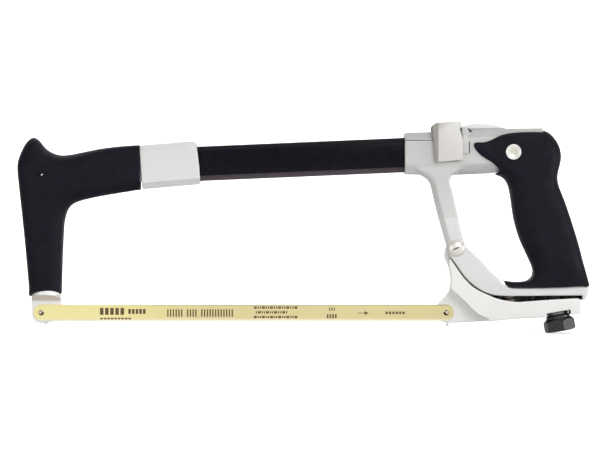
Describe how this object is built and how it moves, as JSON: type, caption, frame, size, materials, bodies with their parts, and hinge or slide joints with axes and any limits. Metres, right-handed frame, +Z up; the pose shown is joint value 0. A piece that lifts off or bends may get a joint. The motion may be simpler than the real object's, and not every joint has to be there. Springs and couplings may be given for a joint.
{
  "type": "hacksaw",
  "caption": "High-tension hacksaw with a box-tube frame, rubber grips, cam clamp for the frame length and a screw-driven tension lever.",
  "frame": {"origin": "centre of the whole saw's bounding box, at mid-width of the frame tube", "axes": "+X along the blade towards the handle, +Z up from the blade to the frame tube, +Y across; the blade lies on the -Y side of its seats"},
  "size_m": [0.4222, 0.0332, 0.1565],
  "materials": {
    "cast_aluminium": "satin, silver lacquered casting",
    "grip_rubber": "matte moulded rubber",
    "tube_paint": "semi-gloss black paint",
    "strap_steel": "satin plated",
    "bright_steel": "nickel plated",
    "blade_gold": "gold-coloured lacquer",
    "knob_plastic": "satin black plastic",
    "bronze": "plain bearing bronze",
    "spring_steel": "oiled steel"
  },
  "bodies": {
    "saw_root": {"rear_frame": "cast_aluminium", "rear_grip": "grip_rubber", "grip_screw_near": "bright_steel", "grip_screw_far": "bright_steel", "pivot_bolt": "bright_steel", "pivot_nut": "bright_steel", "pivot_washer_near": "spring_steel", "pivot_washer_far": "spring_steel", "clamp_strap": "strap_steel", "clamp_pin": "bright_steel", "tension_nut": "bright_steel", "lever_spring": "spring_steel"},
    "front_frame": {"frame_tube": "tube_paint", "tube_pin": "spring_steel", "tube_end_plug": "knob_plastic", "front_casting": "cast_aluminium", "front_grip": "grip_rubber", "front_blade_pin": "bright_steel", "front_side_pin": "bright_steel"},
    "blade_body": {"blade": "blade_gold"},
    "clamp_lever_body": {"clamp_lever": "cast_aluminium"},
    "clamp_jaw_body": {"clamp_jaw": "spring_steel"},
    "lever_body": {"tension_lever": "cast_aluminium", "pivot_bush": "bronze", "rear_blade_pin": "bright_steel", "rear_side_pin": "bright_steel"},
    "screw_carrier": {"thrust_washer": "bright_steel"},
    "knob_body": {"tension_knob": "knob_plastic", "tension_screw": "spring_steel"}
  },
  "joints": [
    {"name": "frame_length", "type": "slide", "parent": "saw_root", "child": "front_frame", "axis": [0.9991, 0, 0.0424], "range_m": [0, 0.05]},
    {"name": "blade_off", "type": "slide", "parent": "front_frame", "child": "blade_body", "axis": [0, -1, 0], "range_m": [0, 0.05]},
    {"name": "clamp_swing", "type": "hinge", "parent": "saw_root", "child": "clamp_lever_body", "pos_m": [0.1072, 0, 0.0738], "axis": [0, -1, 0], "range_deg": [0, 95]},
    {"name": "jaw_lift", "type": "slide", "parent": "saw_root", "child": "clamp_jaw_body", "axis": [-0.0424, 0, 0.9991], "range_m": [0, 0.0008]},
    {"name": "screw_travel", "type": "slide", "parent": "saw_root", "child": "screw_carrier", "axis": [0.1736, 0, -0.9848], "range_m": [0, 0.0023]},
    {"name": "knob_turn", "type": "hinge", "parent": "screw_carrier", "child": "knob_body", "pos_m": [0.18905, 0, -0.0665], "axis": [0.1736, 0, -0.9848], "range_deg": [0, 590]},
    {"name": "lever_swing", "type": "hinge", "parent": "saw_root", "child": "lever_body", "pos_m": [0.1133, 0, -0.0154], "axis": [0, 1, 0], "range_deg": [0, 1.6], "deforming": ["lever_spring"]}
  ],
  "couplings": [
    {"joint": "blade_off", "follows": "frame_length", "ratio": 1},
    {"joint": "jaw_lift", "follows": "clamp_swing", "m_per_rad": 0.00048},
    {"joint": "screw_travel", "follows": "knob_turn", "m_per_rad": 0.00019894},
    {"joint": "lever_swing", "follows": "knob_turn", "ratio": 0.002661}
  ]
}
